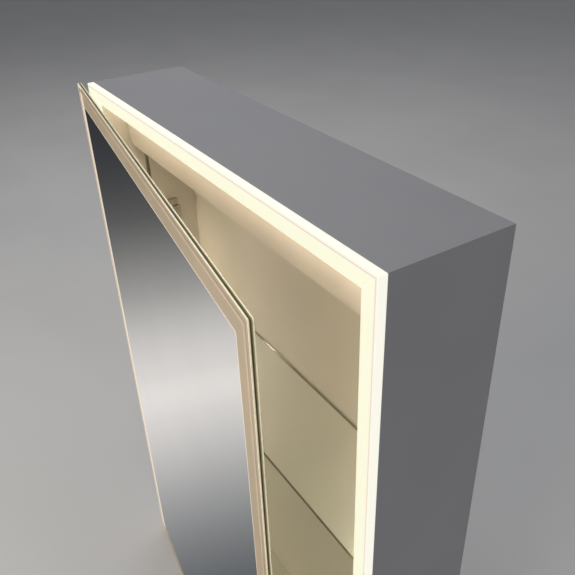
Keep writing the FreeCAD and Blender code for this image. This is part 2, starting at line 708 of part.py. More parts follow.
def hinge_arm(level):
    """A bar along the side board that steps round the frame to the middle knuckle."""
    z = (f"{level} - arm_height/2", f"{level} + arm_height/2")
    bar = box((ARM_X, f"{ARM_X} + arm_thickness"), (f"{STRIP_Y} - arm_strip", ARM_REAR), z)
    strip = box((PIN_X, f"{ARM_X} + arm_thickness"), (f"{STRIP_Y} - arm_strip", STRIP_Y), z)
    knuckle = rod("knuckle_radius", "arm_height", (PIN_X, PIN_Y, z[0]))
    bore = rod("hinge_pin_radius + pin_clearance", "arm_height + 2*cut_over",
               (PIN_X, PIN_Y, f"{z[0]} - cut_over"))
    screw_holes = [rod("arm_hole_radius", "arm_thickness + 2*cut_over",
                       (f"{ARM_X} - cut_over", f"{ARM_REAR} - {back}", level), "X")
                   for back in ARM_SCREW_BACKS]
    return cut(join(bar, strip, knuckle), bore, *screw_holes)


def hinges():
    """Two hinges: plate and arm on the cabinet, leaf and pin on the door."""
    plate_y = (f"{ARM_REAR} - plate_length", ARM_REAR)
    plate_start = f"{INSIDE_LEFT} - cut_over"
    through = f"{ARM_X} - ({INSIDE_LEFT}) + 2*cut_over"
    arm_face = f"({ARM_X} + arm_thickness)"
    screws = []
    for name, level in (("upper", UPPER_HINGE), ("lower", LOWER_HINGE)):
        plate = box((INSIDE_LEFT, ARM_X), plate_y,
                    (f"{level} - plate_height/2", f"{level} + plate_height/2"))
        plate = round_edges(plate, "plate_corner", lambda edge: runs_along(edge, FreeCAD.Vector(1, 0, 0)))
        holes = []
        for back in ARM_SCREW_BACKS:
            y = f"{ARM_REAR} - {back}"
            holes.append(rod("arm_screw_radius + screw_clearance", through, (plate_start, y, level), "X"))
            head = rod("arm_head_radius", "hinge_head_height", (arm_face, y, level), "X")
            shank = rod("arm_screw_radius", "arm_thickness + arm_thread",
                        (f"{ARM_X} - arm_thread", y, level), "X")
            screws.append(join(head, shank))
        for sign in "-+":
            y, z = f"{ARM_REAR} - plate_screw_back", f"{level} {sign} plate_screw_rise"
            holes.append(rod("plate_screw_radius + screw_clearance", through, (plate_start, y, z), "X"))
            head = rod("plate_head_radius", "hinge_head_height", (ARM_X, y, z), "X")
            shank = rod("plate_screw_radius", "plate_thread", (f"{ARM_X} - plate_thread", y, z), "X")
            screws.append(join(head, shank))
        sub_part(cut(plate, *holes), f"hinge_plate_{name}")
        sub_part(hinge_arm(level), f"hinge_arm_{name}")
    sub_part(join(*screws), "hinge_screws")


# ---------------------------------------------------------------- door, in its own closed frame

# The door's frame has its origin on the hinge pins' axis, level with the wall screws. Its panes
# lie in X and Z with their mirrored fronts towards -Y.
DOOR_LEFT = "(-hinge_pin_x - door_side_overlap)"
DOOR_RIGHT = "(cabinet_width + door_side_overlap - hinge_pin_x)"
DOOR_TOP = "(hanging_drop + door_top_overlap)"
DOOR_BOTTOM = "(hanging_drop - cabinet_height - door_top_overlap)"
DOOR_REAR = "(hinge_pin_y - door_gap)"


def hang_on_pins(piece):
    """Turn a piece of the door with the door and set it on the hinge pins."""
    turn = FreeCAD.Rotation(FreeCAD.Vector(0, 0, -1), SIZES["door_open_angle"])
    piece.Placement = FreeCAD.Placement(FreeCAD.Vector(value(PIN_X), value(PIN_Y), 0), turn)
    piece.setExpression(".Placement.Base.x", formula(PIN_X))
    piece.setExpression(".Placement.Base.y", formula(PIN_Y))
    piece.setExpression(".Placement.Rotation.Angle", formula("door_open_angle * 1 deg"))
    return piece


def door_outline(inset):
    left, right = f"{DOOR_LEFT} + {inset}", f"{DOOR_RIGHT} - {inset}"
    top, bottom = f"{DOOR_TOP} - {inset}", f"{DOOR_BOTTOM} + {inset}"
    return [(left, top), (right, top), (right, bottom), (left, bottom)]


def rounded_pane(y_low, y_high):
    """A pane with its upright corners eased."""
    body = slab(y_low, y_high, door_outline("0"))
    doc.recompute()
    pad = body.Tip
    depth_axis = FreeCAD.Vector(0, 1, 0)
    ease = body.newObject("PartDesign::Fillet", "ease")
    ease.Base = (pad, [f"Edge{number}" for number, edge in enumerate(pad.Shape.Edges, start=1)
                       if runs_along(edge, depth_axis)])
    ease.setExpression("Radius", formula("corner_radius"))
    body.Tip = ease
    return body


def door():
    """Two panes back to back with silver, bond and a seal between, and what is fixed to them."""
    layers = {
        "rear_pane": "pane_thickness",
        "rear_silvering": "silver_thickness",
        "bonding_film": "bond_thickness",
        "front_silvering": "silver_thickness",
        "front_pane": "pane_thickness",
    }
    near = DOOR_REAR
    for name, thickness in layers.items():
        far = f"({near} - {thickness})"
        if name.endswith("pane"):
            layer = rounded_pane(far, near)
        else:
            layer = slab(far, near, door_outline("clear_border"))
        sub_part(hang_on_pins(layer), name)
        near = far
    seal_y = (f"{DOOR_REAR} - pane_thickness - 2*silver_thickness - bond_thickness",
              f"{DOOR_REAR} - pane_thickness")
    seal = slab(*seal_y, door_outline("seal_inset"), door_outline("(seal_inset + seal_width)"))
    sub_part(hang_on_pins(seal), "edge_seal")

    for name, level in (("upper", UPPER_HINGE), ("lower", LOWER_HINGE)):
        sub_part(hang_on_pins(hinge_leaf(level)), f"hinge_leaf_{name}")
        pin = join(rod("hinge_pin_radius", "leaf_height", ("0", "0", f"{level} - leaf_height/2")),
                   rod("pin_head_radius", "pin_head_height", ("0", "0", f"{level} + leaf_height/2")))
        sub_part(hang_on_pins(pin), f"hinge_pin_{name}")

    strike_at = (f"({CATCH_X} - ({PIN_X}))", DOOR_REAR, MAGNET_Z)
    strike = join(rod("strike_radius", "strike_thickness", strike_at, "Y"),
                  rod("strike_boss_radius", "strike_boss_height", strike_at, "Y"))
    sub_part(hang_on_pins(strike), "strike_plate")
    stop_x = f"({DOOR_RIGHT} - door_side_overlap - frame_face/2)"
    stops = [rod("stop_radius", "door_gap - stop_clearance", (stop_x, DOOR_REAR, z), "Y")
             for z in (f"{TOP} - stop_inset", f"{BOTTOM} + stop_inset")]
    stops = [round_edges(stop, "stop_easing",
                         lambda edge: edge.BoundBox.YMin > value(f"{DOOR_REAR} + door_gap/2"))
             for stop in stops]
    sub_part(hang_on_pins(join(*stops)), "door_stops")


def hinge_leaf(level):
    """The plate bonded behind the rear pane, with a knuckle above and below the arm's."""
    z = (f"{level} - leaf_height/2", f"{level} + leaf_height/2")
    gap = (f"{level} - arm_height/2 - knuckle_gap", f"{level} + arm_height/2 + knuckle_gap")
    plate = box(("lug_width", "leaf_width"), (DOOR_REAR, f"{DOOR_REAR} + leaf_thickness"), z)
    plate = round_edges(plate, "leaf_corner", lambda edge: runs_along(edge, FreeCAD.Vector(0, 1, 0))
                        and edge.BoundBox.XMin > value("leaf_width/2"))
    lug = box(("0", "lug_width"), (f"{DOOR_REAR} + lug_setback", f"{DOOR_REAR} + leaf_thickness"), z)
    knuckle = rod("knuckle_radius", "leaf_height", ("0", "0", z[0]))
    bore = rod("hinge_pin_radius", "leaf_height + 2*cut_over", ("0", "0", f"{z[0]} - cut_over"))
    window = box(("-knuckle_radius - cut_over", "knuckle_radius + leaf_window"),
                 ("-knuckle_radius - window_clearance", "knuckle_radius + cut_over"), gap)
    return cut(join(plate, lug, knuckle), bore, window)


def catch():
    """A magnet in a holder that stands on the bottom board and reaches over the frame."""
    holder = box((f"{CATCH_X} - holder_width/2", f"{CATCH_X} + holder_width/2"),
                 (f"{FRONT} - holder_front", f"{FRONT} + holder_rear"),
                 (INSIDE_BOTTOM, f"{MAGNET_Z} + holder_above"))
    holder = round_edges(holder, "holder_corner", lambda edge: edge.BoundBox.ZMin > value(MAGNET_Z))
    relief = box((f"{CATCH_X} - holder_width", f"{CATCH_X} + holder_width"),
                 (f"{FRONT} - holder_front - cut_over", f"{BOARD_FRONT} + holder_relief_gap"),
                 (f"{INSIDE_BOTTOM} - cut_over", f"{BOTTOM} + frame_face + holder_relief_gap"))
    pocket = rod("magnet_radius", "pocket_depth + holder_front + cut_over",
                 (CATCH_X, f"{FRONT} - holder_front - cut_over", MAGNET_Z), "Y")
    screw = (CATCH_X, f"{FRONT} + catch_screw_back")
    seat = f"({INSIDE_BOTTOM} + catch_screw_lift)"
    well = rod("catch_well_radius", "holder_rear", (*screw, seat))
    bore = rod("catch_screw_radius + screw_clearance", "catch_screw_lift + 2*cut_over",
               (*screw, f"{INSIDE_BOTTOM} - cut_over"))
    sub_part(cut(holder, relief, pocket, well, bore), "catch_holder")
    sub_part(rod("magnet_radius", "magnet_length", (CATCH_X, f"{FRONT} - magnet_front", MAGNET_Z), "Y"),
             "catch_magnet")
    head = rod("catch_head_radius", "catch_head_height", (*screw, seat))
    shank = rod("catch_screw_radius", "catch_screw_lift", (*screw, INSIDE_BOTTOM))
    sub_part(join(head, shank), "catch_screw")


carcass()
lighting()
electrics()
shelves()
hanging()
hinges()
door()
catch()
doc.recompute()

# ---------------------------------------------------------------- checks and files

for item in doc.Objects:
    if "Invalid" in item.State or "Error" in item.State:
        raise RuntimeError(f"{item.Label} failed: {item.State}")
labels = [piece.Label for piece in sub_parts]
if len(set(labels)) != len(labels):
    raise RuntimeError("two sub-parts share a name")
for piece in sub_parts:
    if piece.Shape.isNull() or not piece.Shape.isValid() or piece.Shape.Volume <= 0:
        raise RuntimeError(f"{piece.Label} has no valid shape")

os.makedirs("parts", exist_ok=True)
for piece in sub_parts:
    piece.Shape.exportStep(f"parts/{piece.Label}.step")
    print(f"{piece.Label}: {len(piece.Shape.Solids)} solid(s), {piece.Shape.Volume / 1000:.2f} cm3")
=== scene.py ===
import json
import math

import bmesh
import bpy
from mathutils import Euler, Matrix, Vector


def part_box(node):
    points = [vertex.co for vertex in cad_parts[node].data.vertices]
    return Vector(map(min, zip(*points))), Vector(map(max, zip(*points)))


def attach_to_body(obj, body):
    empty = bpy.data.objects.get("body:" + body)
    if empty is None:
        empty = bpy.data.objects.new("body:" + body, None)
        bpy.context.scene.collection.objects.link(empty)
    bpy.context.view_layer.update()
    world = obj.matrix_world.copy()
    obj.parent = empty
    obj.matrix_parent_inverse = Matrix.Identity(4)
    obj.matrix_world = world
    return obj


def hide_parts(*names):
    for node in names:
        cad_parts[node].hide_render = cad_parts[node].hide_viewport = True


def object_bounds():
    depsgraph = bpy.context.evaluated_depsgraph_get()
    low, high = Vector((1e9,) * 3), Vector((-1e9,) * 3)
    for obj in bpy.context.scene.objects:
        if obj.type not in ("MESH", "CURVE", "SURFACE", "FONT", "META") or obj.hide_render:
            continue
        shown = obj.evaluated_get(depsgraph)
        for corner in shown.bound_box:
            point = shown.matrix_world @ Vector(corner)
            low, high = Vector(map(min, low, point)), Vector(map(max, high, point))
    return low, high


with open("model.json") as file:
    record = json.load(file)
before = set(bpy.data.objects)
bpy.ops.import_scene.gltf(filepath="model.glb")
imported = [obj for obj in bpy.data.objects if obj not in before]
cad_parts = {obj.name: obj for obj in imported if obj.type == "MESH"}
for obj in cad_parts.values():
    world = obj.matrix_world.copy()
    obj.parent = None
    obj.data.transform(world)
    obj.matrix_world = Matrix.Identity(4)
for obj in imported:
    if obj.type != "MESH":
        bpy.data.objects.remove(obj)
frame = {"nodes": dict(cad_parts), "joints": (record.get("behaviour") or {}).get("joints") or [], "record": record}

CAD_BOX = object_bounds()
MM = 0.001

# ---------------------------------------------------------------- where cabinet and door are

LEFT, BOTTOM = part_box("left_side_board")[0].x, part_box("bottom_board")[0].z
RIGHT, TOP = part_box("right_side_board")[1].x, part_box("top_board")[1].z
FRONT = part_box("diffuser_top")[0].y
BOARD_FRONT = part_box("top_board")[0].y
HALF_WIDTH = (RIGHT - LEFT) / 2
FRAME_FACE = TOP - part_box("diffuser_top")[0].z

HINGE = frame["joints"][0]
DOOR_OPEN = math.radians(-HINGE["range_deg"][0])
DOOR = (Matrix.Translation((HINGE["pos_m"][0], HINGE["pos_m"][1], 0))
        @ Matrix.Rotation(-DOOR_OPEN, 4, "Z"))


def door_box(node):
    """A door node's lowest and highest corners in the door's own closed frame."""
    corners = [DOOR.inverted() @ vertex.co for vertex in frame["nodes"][node].data.vertices]
    return (Vector([min(corner[axis] for corner in corners) for axis in range(3)]),
            Vector([max(corner[axis] for corner in corners) for axis in range(3)]))


BODY_OF = {node: body for body, nodes in frame["record"]["behaviour"]["bodies"].items()
           for node in nodes}
SLOT_OF = {entry["node"]: entry["material_slot"] for entry in frame["record"]["subparts"]}

# ---------------------------------------------------------------- colours and nodes


def linear(code):
    """An sRGB hex colour as linear red, green, blue and alpha."""
    channels = [int(code[start:start + 2], 16) / 255 for start in (0, 2, 4)]
    return (*[c / 12.92 if c <= 0.04045 else ((c + 0.055) / 1.055) ** 2.4 for c in channels], 1.0)


def add(tree, kind, settings=None, inputs=None):
    """Add a node with its settings, and set its inputs to values or link them from nodes."""
    node = tree.nodes.new(kind)
    for name, setting in (settings or {}).items():
        setattr(node, name, setting)
    for key, given in (inputs or {}).items():
        sockets = [socket for socket in node.inputs if socket.enabled]
        socket = sockets[key] if isinstance(key, int) else next(s for s in sockets if s.name == key)
        if isinstance(given, bpy.types.Node):
            given = next(output for output in given.outputs if output.enabled)
        if isinstance(given, bpy.types.NodeSocket):
            tree.links.new(given, socket)
        else:
            socket.default_value = given
    return node


RUN_LENGTH = 60  # how much longer than wide a drawn or brushed line is
CLOUD_LOW, CLOUD_HIGH = 0.35, 0.65  # the noise values that give the first and the second tint


def finish(name, tints, roughness, cloud_mm, grain_mm, depth_mm, run=None, spangle=False,
           **sockets):
    """A material whose tint and shine drift over cloud_mm, with a relief of grain_mm by depth_mm.

    run is the axis that the lines of a drawn or brushed metal follow, and spangle breaks the tint
    into crystals. Any further settings go straight to the shader, with spaces for underscores."""
    material = bpy.data.materials.new(name)
    material.use_nodes = True
    tree = material.node_tree
    shader = tree.nodes["Principled BSDF"]
    for socket, setting in sockets.items():
        shader.inputs[socket.replace("_", " ")].default_value = setting
    place = add(tree, "ShaderNodeTexCoord").outputs["Object"]
    stretch = [1 / RUN_LENGTH if axis == run else 1 for axis in "XYZ"]
    laid = add(tree, "ShaderNodeMapping", None, {"Vector": place, "Scale": stretch})
    if spangle:
        crystals = add(tree, "ShaderNodeTexVoronoi", None,
                       {"Vector": place, "Scale": 1 / (cloud_mm * MM)})
        drift = add(tree, "ShaderNodeSeparateColor", None, {"Color": crystals.outputs["Color"]})
    else:
        clouds = add(tree, "ShaderNodeTexNoise", None,
                     {"Vector": laid, "Scale": 1 / (cloud_mm * MM), "Detail": 3.0})
        drift = add(tree, "ShaderNodeMapRange", None,
                    {"Value": clouds, "From Min": CLOUD_LOW, "From Max": CLOUD_HIGH})
    grain = add(tree, "ShaderNodeTexNoise", None,
                {"Vector": laid, "Scale": 1 / (grain_mm * MM), "Detail": 1.0})
    tint = add(tree, "ShaderNodeMix", {"data_type": "RGBA"},
               {"Factor": drift, "A": linear(tints[0]), "B": linear(tints[1])})
    shine = add(tree, "ShaderNodeMapRange", None,
                {"Value": drift, "To Min": roughness[0], "To Max": roughness[1]})
    relief = add(tree, "ShaderNodeBump", None, {"Distance": depth_mm * MM, "Height": grain})
    tree.links.new(next(output for output in tint.outputs if output.enabled),
                   shader.inputs["Base Color"])
    tree.links.new(shine.outputs[0], shader.inputs["Roughness"])
    tree.links.new(relief.outputs[0], shader.inputs["Normal"])
    return material


LACQUER_IOR, GLASS_IOR, ACRYLIC_IOR, PLASTIC_IOR = 1.5, 1.52, 1.49, 1.46

# Each finish names what the real one is. The two numbers in brackets are its roughness, and then
# come the size of its slow variation, the size of its grain and the depth of that grain, in mm.
MATERIALS = {
    # satin lacquer sprayed on board: an even grey, with a faint orange peel in its shine
    "lacquered_board": finish("satin_grey_lacquer_on_board", ("818288", "85868B"), (0.5, 0.58),
                              90, 1.6, 0.012, IOR=LACQUER_IOR),
    # the same lacquer, pale, on a thin panel; its sand tint is painted warm light from the frame's glow
    "back_board": finish("satin_lacquer_on_panel_painted_warm_tint", ("CCC4B2", "D2CAB9"), (0.38, 0.48),
                         140, 2.2, 0.01, IOR=LACQUER_IOR),
    # powder coat on folded steel: a light skin with the coat's fine pitting; its pinkish beige tint is painted
    # warm light from the frame
    "painted_cover": finish("pale_powder_coat_on_steel_painted_warm_tint", ("D6CBBA", "DCD1C0"), (0.42, 0.52),
                            60, 0.9, 0.02, IOR=LACQUER_IOR),
    # opal acrylic lit from behind, softly matt; its glow is added below
    "satin_acrylic": finish("opal_satin_acrylic_lit_from_behind", ("4A4842", "504E48"),
                            (0.45, 0.55), 40, 0.8, 0.01, IOR=ACRYLIC_IOR),
    # clear float glass through its polished face: a slight green cast and a sharp gloss
    "shelf_glass": finish("clear_float_glass", ("C9D3BF", "D2DBC8"), (0.02, 0.04),
                          200, 30, 0.002, IOR=GLASS_IOR, Alpha=0.16),
    # acid-etched glass: an even soft beige with a fine tooth; its glow is added below
    "mirror_glass": finish("acid_etched_satin_glass", ("C0B19A", "C6B69F"), (0.42, 0.5),
                           60, 0.35, 0.004, IOR=GLASS_IOR, Transmission_Weight=0.25),
    # silver and copper on glass, seen only at the sheet's rim
    "silvering": finish("deposited_silver", ("E6E6E4", "F0F0EE"), (0.04, 0.08),
                        50, 1, 0.001, Metallic=1),
    # dark adhesive film with rolled-in air specks
    "bonding_film": finish("dark_adhesive_film", ("202020", "2B2A29"), (0.5, 0.65),
                           3, 0.8, 0.02, IOR=PLASTIC_IOR),
    # anodised extrusion: satin, with the die's faint upright lines
    "rail_aluminium": finish("anodised_aluminium_extrusion", ("8E897C", "A09B8E"), (0.32, 0.42),
                             0.5, 0.5, 0.01, run="Z", Metallic=1),
    # anodised bar, brushed along its length
    "bracket_aluminium": finish("brushed_anodised_aluminium", ("B4B3AF", "C4C3BF"), (0.28, 0.4),
                                0.4, 0.4, 0.01, run="Y", Metallic=1),
    # mill-finish channel, bright and lightly scratched
    "channel_aluminium": finish("mill_finish_aluminium", ("C3C4C6", "D2D3D4"), (0.25, 0.4),
                                6, 0.3, 0.01, Metallic=1),
    # hot-dip zinc on sheet steel, with the spangle of its crystals
    "galvanised_steel": finish("galvanised_sheet_steel", ("A3A6A8", "C0C3C5"), (0.35, 0.5),
                               7, 2, 0.01, spangle=True, Metallic=1),
    # satin nickel on pressed steel: warm grey, with soft upright handling marks
    "hinge_nickel": finish("satin_nickel_plated_steel", ("B3ADA2", "C6C0B5"), (0.22, 0.36),
                           9, 0.3, 0.008, run="Z", Metallic=1),
    # bright zinc on a cold-headed screw
    "screw_steel": finish("zinc_plated_screw_steel", ("B0B2B6", "C8CACE"), (0.25, 0.4),
                          3, 0.6, 0.01, Metallic=1),
    # bright nickel over a pressed magnet
    "magnet_nickel": finish("bright_nickel_on_magnet", ("C6C2BA", "D6D2CA"), (0.12, 0.24),
                            4, 0.5, 0.006, Metallic=1),
    # white circuit tape under its clear coat
    "light_tape": finish("white_circuit_tape", ("EDE8D2", "F6F1DE"), (0.3, 0.42),
                         4, 0.5, 0.01, IOR=LACQUER_IOR),
    # plastics, with the fine spark-eroded grain of their moulds
    "driver_case": finish("white_polycarbonate_case", ("E6E6E2", "EEEEEA"), (0.4, 0.5),
                          20, 0.45, 0.02, IOR=PLASTIC_IOR),
    "terminal_plastic": finish("natural_polyamide", ("E0DDD0", "E9E6DA"), (0.35, 0.48),
                               20, 0.45, 0.02, IOR=PLASTIC_IOR),
    "grey_plastic": finish("grey_moulded_nylon", ("85868A", "919296"), (0.4, 0.52),
                           20, 0.45, 0.02, IOR=PLASTIC_IOR),
    # moulded rubber: a dull, slightly dusty black
    "dark_rubber": finish("black_moulded_rubber", ("171717", "222121"), (0.6, 0.75),
                          20, 0.45, 0.02, IOR=PLASTIC_IOR),
    # cast silicone: a milky, soft gloss
    "clear_silicone": finish("clear_silicone", ("D9DAD4", "E2E3DE"), (0.25, 0.35),
                             20, 0.45, 0.02, IOR=PLASTIC_IOR, Transmission_Weight=0.5),
}

# butyl run between the panes: olive in the light that comes through the glass
SEAL = finish("olive_butyl_seal", ("5A5539", "666143"), (0.55, 0.7),
              20, 0.45, 0.02, IOR=PLASTIC_IOR)
# the sheet's own edge, dark green because light travels the whole width of the shelf
SHELF_EDGE = finish("polished_glass_edge", ("55522F", "6C6A44"), (0.08, 0.16),
                    12, 0.5, 0.01, IOR=GLASS_IOR, Alpha=0.85)
# the strip of the etched border that shows a little paler, just inside the seal
BORDER_PALE = finish("acid_etched_satin_glass_pale", ("D6C2AC", "DECBB6"), (0.4, 0.48),
                     25, 0.35, 0.004, IOR=GLASS_IOR, Transmission_Weight=0.2)
# the strip of the etched border over the dark seal
BORDER_SHADED = finish("acid_etched_satin_glass_shaded", ("A39680", "AEA08A"), (0.42, 0.5),
                       25, 0.35, 0.004, IOR=GLASS_IOR, Transmission_Weight=0.1)
# silvered float glass: a clean mirror with the faint waviness of the sheet
MIRROR = finish("silvered_float_glass", ("EDEFEE", "F2F4F3"), (0.02, 0.035),
                180, 70, 0.002, Metallic=1)
# the bare margin where the silver stops: pale glass, made bright by a painted glow in its emission
SILVER_MARGIN_PAINTED_GLOW = finish("silver_margin_painted_glow", ("EFE6DC", "F6EEE6"), (0.3, 0.4), 8, 0.6, 0.004,
                       Metallic=0.2, Emission_Color=linear("EFE8E2"), Emission_Strength=0.1)
# ground and polished edge, bright where the frame's light runs out of it
GROUND_EDGE = finish("ground_glass_edge", ("E4DABF", "F0E7CD"), (0.25, 0.38), 5, 0.3, 0.01,
                     IOR=GLASS_IOR, Emission_Color=linear("E8DFC4"), Emission_Strength=0.18)
# the bevel on the inner side of a pane's edge, dark with the seal behind it
SHADED_BEVEL = finish("shaded_glass_bevel", ("857D5C", "948C69"), (0.3, 0.45),
                      9, 0.3, 0.01, IOR=GLASS_IOR)
# matt floor paint
FLOOR_PAINT = finish("pale_matt_floor", ("B9B9BA", "BDBDBE"), (0.8, 0.9), 400, 3, 0.01)


# The opal acrylic's glow, with distances in mm in from the frame's outer edge.
GLOW_AT_EDGE, GLOW_INSIDE, GLOW_ON_LINE, GLOW_STRENGTH = "FFFEF0", "FFFFE4", "EFDCCB", 0.9
LINE_INSET, LINE_CORE, LINE_REACH = 2.8, 0.3, 1.3
EDGE_COLOUR_TO, INSIDE_COLOUR_FROM = 0.5, 7

# The etched glass's glow beside the hinges, with distances in mm from the hinge pins.
BORDER_GLOW, BORDER_GLOW_STRENGTH = "F6EAD6", 0.55
BORDER_GLOW_FULL_TO, BORDER_GLOW_ENDS = 10, 28


def light_the_diffuser():
    """Glow for the opal acrylic: palest at its outer edge, creamy further in.

    A fine pinkish line runs just inside the outer edge."""
    tree = MATERIALS["satin_acrylic"].node_tree
    shader = tree.nodes["Principled BSDF"]
    place = add(tree, "ShaderNodeTexCoord").outputs["Object"]
    axes = add(tree, "ShaderNodeSeparateXYZ", None, {"Vector": place})
    from_middle = add(tree, "ShaderNodeMath", {"operation": "ABSOLUTE"}, {0: axes.outputs["X"]})
    from_side = add(tree, "ShaderNodeMath", {"operation": "SUBTRACT"},
                    {0: HALF_WIDTH, 1: from_middle})
    from_top = add(tree, "ShaderNodeMath", {"operation": "SUBTRACT"},
                   {0: TOP, 1: axes.outputs["Z"]})
    from_bottom = add(tree, "ShaderNodeMath", {"operation": "SUBTRACT"},
                      {0: axes.outputs["Z"], 1: BOTTOM})
    from_level = add(tree, "ShaderNodeMath", {"operation": "MINIMUM"},
                     {0: from_top, 1: from_bottom})
    from_edge = add(tree, "ShaderNodeMath", {"operation": "MINIMUM"},
                    {0: from_side, 1: from_level})
    past_line = add(tree, "ShaderNodeMath", {"operation": "SUBTRACT"},
                    {0: from_edge, 1: LINE_INSET * MM})
    to_line = add(tree, "ShaderNodeMath", {"operation": "ABSOLUTE"}, {0: past_line})
    on_line = add(tree, "ShaderNodeMapRange", {"interpolation_type": "SMOOTHSTEP"},
                  {"Value": to_line, "From Min": LINE_CORE * MM, "From Max": LINE_REACH * MM,
                   "To Min": 1.0, "To Max": 0.0})
    inward = add(tree, "ShaderNodeMapRange", {"interpolation_type": "SMOOTHSTEP"},
                 {"Value": from_edge, "From Min": EDGE_COLOUR_TO * MM,
                  "From Max": INSIDE_COLOUR_FROM * MM})
    field = add(tree, "ShaderNodeMix", {"data_type": "RGBA"},
                {"Factor": inward, "A": linear(GLOW_AT_EDGE), "B": linear(GLOW_INSIDE)})
    lined = add(tree, "ShaderNodeMix", {"data_type": "RGBA"},
                {"Factor": on_line, "A": field, "B": linear(GLOW_ON_LINE)})
    tree.links.new(next(output for output in lined.outputs if output.enabled),
                   shader.inputs["Emission Color"])
    shader.inputs["Emission Strength"].default_value = GLOW_STRENGTH


def light_the_border():
    """Glow for the etched glass beside the hinges, where it stays close in front of the frame."""
    tree = MATERIALS["mirror_glass"].node_tree
    shader = tree.nodes["Principled BSDF"]
    place = add(tree, "ShaderNodeTexCoord").outputs["Object"]
    axes = add(tree, "ShaderNodeSeparateXYZ", None, {"Vector": place})
    lit = add(tree, "ShaderNodeMapRange", {"interpolation_type": "SMOOTHSTEP"},
              {"Value": axes.outputs["X"], "From Min": BORDER_GLOW_FULL_TO * MM,
               "From Max": BORDER_GLOW_ENDS * MM, "To Min": BORDER_GLOW_STRENGTH, "To Max": 0.0})
    tree.links.new(lit.outputs[0], shader.inputs["Emission Strength"])
    shader.inputs["Emission Color"].default_value = linear(BORDER_GLOW)


light_the_diffuser()
light_the_border()

for node, carried in frame["nodes"].items():
    carried.data.materials.clear()
    carried.data.materials.append(SEAL if node == "edge_seal" else MATERIALS[SLOT_OF[node]])

# ---------------------------------------------------------------- detailed pieces

SAME_POINT_MM = 0.002  # points this close are one
FLAT_ANGLE = math.radians(0.5)  # faces that turn less than this are one flat face
ROUNDED_ANGLE = math.radians(35)  # edges that turn more than this are rounded
SHARP_ANGLE = math.radians(38)  # edges that turn more than this aren't shaded smooth
FACES_THE_SAME_WAY = 0.7  # the least dot product of a board's inward face with its direction
UPRIGHT_FACE = 0.3  # the most that the normal of a shelf's edge may rise


def show(mesh, name, materials):
    """Put a finished mesh in the scene, smooth except at its sharp edges."""
    piece = bpy.data.objects.new(name, mesh)
    bpy.context.scene.collection.objects.link(piece)
    for material in materials:
        mesh.materials.append(material)
    for polygon in mesh.polygons:
        polygon.use_smooth = True
    mesh.set_sharp_from_angle(angle=SHARP_ANGLE)
    return piece


def attach(piece, body, slot, *replaced):
    """Let a piece ride with its body and stand for its CAD nodes."""
    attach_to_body(piece, body)
    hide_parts(*replaced)


def eased(node, width_mm, second_material=None, takes_second=None):
    """A copy of a CAD node with merged facets and a small round on every sharp edge.

    The faces for which takes_second(face) holds get the second material."""
    mesh = bpy.data.meshes.new(f"{node}_eased")
    form = bmesh.new()
    form.from_mesh(frame["nodes"][node].data)
    bmesh.ops.remove_doubles(form, verts=form.verts, dist=SAME_POINT_MM * MM)
    bmesh.ops.dissolve_limit(form, angle_limit=FLAT_ANGLE, verts=form.verts, edges=form.edges)
    sharp = [edge for edge in form.edges
             if len(edge.link_faces) == 2 and edge.calc_face_angle(0) > ROUNDED_ANGLE]
    bmesh.ops.bevel(form, geom=sharp, offset=width_mm * MM, segments=2, profile=0.5,
                    affect="EDGES", clamp_overlap=True)
    if takes_second:
        for face in form.faces:
            face.material_index = int(takes_second(face))
    form.to_mesh(mesh)
    form.free()
    materials = [MATERIALS[SLOT_OF[node]]] + ([second_material] if second_material else [])
    piece = show(mesh, f"{node}_eased", materials)
    normals = piece.modifiers.new("flat_faces", "WEIGHTED_NORMAL")
    normals.keep_sharp = True
    attach(piece, BODY_OF[node], SLOT_OF[node], node)
    return piece


INWARD = {"top_board": (0, 0, -1), "bottom_board": (0, 0, 1),
          "left_side_board": (1, 0, 0), "right_side_board": (-1, 0, 0)}
# the boards' inward faces take the back panel's pale lacquer, whose sand tint is painted warm light
for node, inward in INWARD.items():
    eased(node, 0.4, MATERIALS["back_board"],
          lambda face, inward=inward: face.normal.dot(inward) > FACES_THE_SAME_WAY)
for side in ("top", "bottom", "left", "right"):
    eased(f"diffuser_{side}", 0.5)
eased("electrics_cover", 0.6)
eased("back_panel", 0.2)
for level in ("upper", "lower"):
    eased(f"shelf_{level}", 0.2, SHELF_EDGE, lambda face: abs(face.normal.z) < UPRIGHT_FACE)
    eased(f"hinge_plate_{level}", 0.4)
    eased(f"hinge_arm_{level}", 0.3)
    eased(f"hinge_leaf_{level}", 0.2)
    eased(f"shelf_brackets_{level}", 0.5)
for side in ("left", "right"):
    eased(f"shelf_rail_{side}", 0.15)
    eased(f"hanger_{side}", 0.3)
for node in ("wall_rail", "electrics_tray", "light_driver", "terminal_block", "catch_holder",
             "catch_magnet", "strike_plate"):
    eased(node, 0.25)

# ---------------------------------------------------------------- screws

SCREW_HEADS = {"cover_screws": (0, 0, -1), "driver_screws": (0, 0, -1), "hanger_screws": (0, -1, 0),
               "hinge_screws": (1, 0, 0), "catch_screw": (0, 0, 1)}
CROSS_ARM = (1.15, 0.28, 0.8)  # length, width and height of a cutting arm, in head radii
CROSS_TURNS = (20, 110)  # how far each arm is turned about the screw, in degrees
HEAD_ROUND_MM = 0.5


